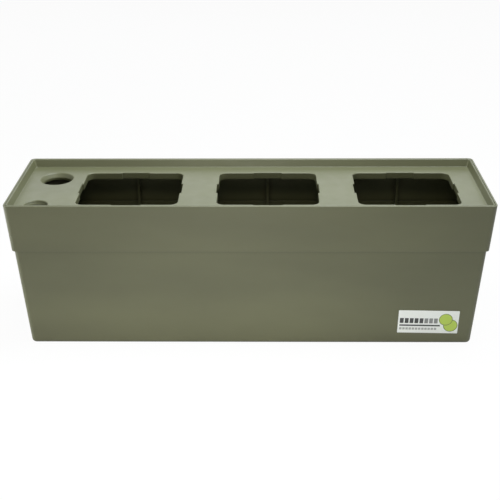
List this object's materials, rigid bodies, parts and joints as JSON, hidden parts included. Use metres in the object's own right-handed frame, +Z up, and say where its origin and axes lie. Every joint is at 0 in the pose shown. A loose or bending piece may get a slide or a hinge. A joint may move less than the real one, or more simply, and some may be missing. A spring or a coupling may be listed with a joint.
{
  "type": "self-watering herb planter",
  "caption": "Long tapered windowsill tub with a drop-in deck that holds herb pots over a water reservoir, with felt mats and wicks, a filling tube and a float gauge.",
  "frame": {"origin": "middle of the base, on the surface that the planter stands on", "axes": "+X along the planter to the right as seen from the front, +Y from front to back, +Z up"},
  "size_m": [0.54, 0.15, 0.18],
  "materials": {
    "tub_plastic": "satin moulded olive-taupe polypropylene with a fine grain",
    "deck_plastic": "satin moulded olive-taupe polypropylene with a fine grain",
    "tray_plastic": "dull dark moulded polypropylene",
    "tube_plastic": "dull dark extruded plastic",
    "mat_felt": "needled grey capillary felt",
    "wick_felt": "needled pale wick felt",
    "gauge_cap": "dull dark moulded plastic",
    "gauge_foam": "pale closed-cell foam",
    "gauge_rod": "pale extruded rod",
    "gauge_tip": "glossy red moulded plastic",
    "label_film": "white printed film with plain dark bars, a dark rule and two plain lime discs"
  },
  "bodies": {
    "tub_assembly": {"tub": "tub_plastic", "separator_tray": "tray_plastic", "capillary_mat_left": "mat_felt", "capillary_mat_middle": "mat_felt", "capillary_mat_right": "mat_felt", "wick_left_1": "wick_felt", "wick_left_2": "wick_felt", "wick_middle_1": "wick_felt", "wick_middle_2": "wick_felt", "wick_right_1": "wick_felt", "wick_right_2": "wick_felt", "front_label": "label_film"},
    "deck_assembly": {"cover": "deck_plastic", "fill_tube": "tube_plastic", "gauge_tube": "tube_plastic", "gauge_end_cap": "gauge_cap"},
    "gauge_assembly": {"gauge_float": "gauge_foam", "gauge_rod": "gauge_rod", "gauge_tip": "gauge_tip"}
  },
  "joints": [
    {"name": "cover_lift", "type": "slide", "parent": "tub_assembly", "child": "deck_assembly", "axis": [0, 0, 1], "range_m": [0, 0.2]},
    {"name": "gauge_slide", "type": "slide", "parent": "deck_assembly", "child": "gauge_assembly", "axis": [0, 0, 1], "range_m": [0, 0.025]}
  ]
}
